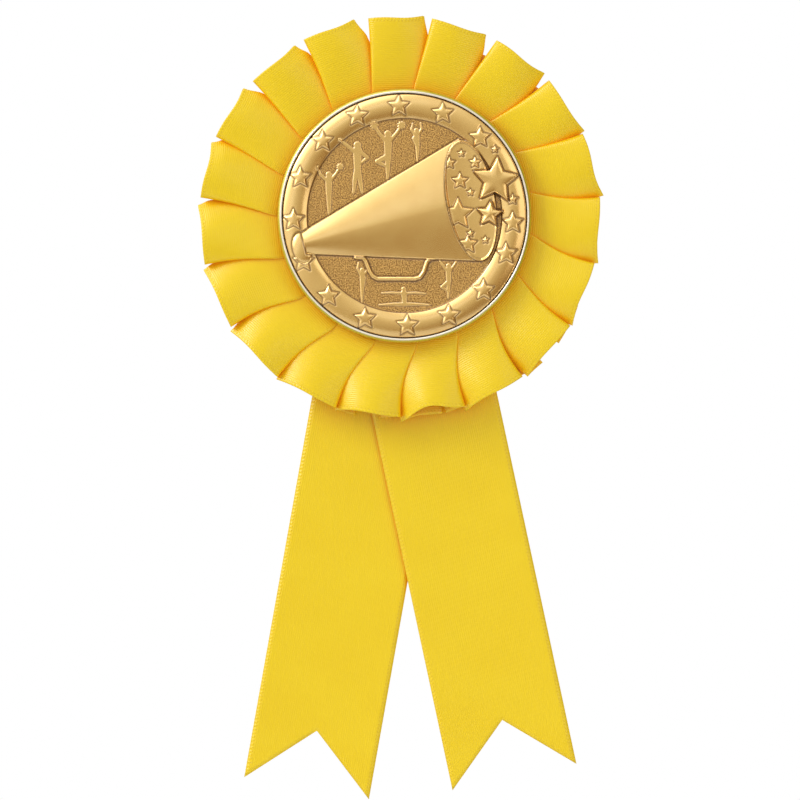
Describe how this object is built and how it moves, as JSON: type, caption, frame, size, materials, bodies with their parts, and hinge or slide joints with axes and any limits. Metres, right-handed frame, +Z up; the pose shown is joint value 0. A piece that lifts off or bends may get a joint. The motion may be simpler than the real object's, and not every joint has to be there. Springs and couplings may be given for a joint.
{
  "type": "award ribbon",
  "caption": "Pleated satin rosette award ribbon with a gold relief medal, hanging swallow-tail tails and a locking bar pin at the back.",
  "frame": {"origin": "middle of the pin bar's rear face, where the garment lies between the bar and the stem", "axes": "+Z up as worn, -Y towards the viewer at the front, +X to the viewer's right"},
  "size_m": [0.0816, 0.0197, 0.1573],
  "materials": {
    "gold_relief": "antique gold plated relief, satin with polished highlights",
    "holder_plastic": "glossy, pale gold",
    "satin_ribbon": "yellow satin, fine ribs, woven edges",
    "card": "matt white board",
    "foam_tape": "white foam",
    "hot_melt_glue": "milky glue",
    "thread": "twisted thread",
    "plated_steel": "nickel plated"
  },
  "bodies": {
    "rosette": {"medal_insert": "gold_relief", "insert_holder": "holder_plastic", "insert_foam_pad": "foam_tape", "holder_glue_pad": "hot_melt_glue", "ruffle_ribbon": "satin_ribbon", "ruffle_gathering_thread": "thread", "ruffle_glue_ring": "hot_melt_glue", "base_card": "card", "tail_right_upper_end": "satin_ribbon", "tail_left_upper_end": "satin_ribbon", "tail_staple": "plated_steel", "card_glue_pad": "hot_melt_glue", "back_card": "card", "pin_adhesive_pad": "foam_tape", "pin_bar": "plated_steel", "pin_hinge_rivet": "plated_steel"},
    "right_tail": {"tail_right": "satin_ribbon"},
    "left_tail": {"tail_left": "satin_ribbon"},
    "stem": {"pin_stem": "plated_steel"},
    "lock": {"pin_lock_barrel": "plated_steel"}
  },
  "joints": [
    {"name": "right_tail_swing", "type": "hinge", "parent": "rosette", "child": "right_tail", "pos_m": [0, -0.00505, -0.0525], "axis": [1, 0, 0], "range_deg": [-80, 0]},
    {"name": "left_tail_swing", "type": "hinge", "parent": "rosette", "child": "left_tail", "pos_m": [0, -0.00425, -0.0525], "axis": [1, 0, 0], "range_deg": [0, 80]},
    {"name": "stem_hinge", "type": "hinge", "parent": "rosette", "child": "stem", "pos_m": [-0.0135, 0.0032, 0], "axis": [0, 0, 1], "range_deg": [0, 75]},
    {"name": "lock_turn", "type": "hinge", "parent": "rosette", "child": "lock", "pos_m": [0.0111, 0.0032, 0], "axis": [1, 0, 0], "range_deg": [0, 90]}
  ]
}
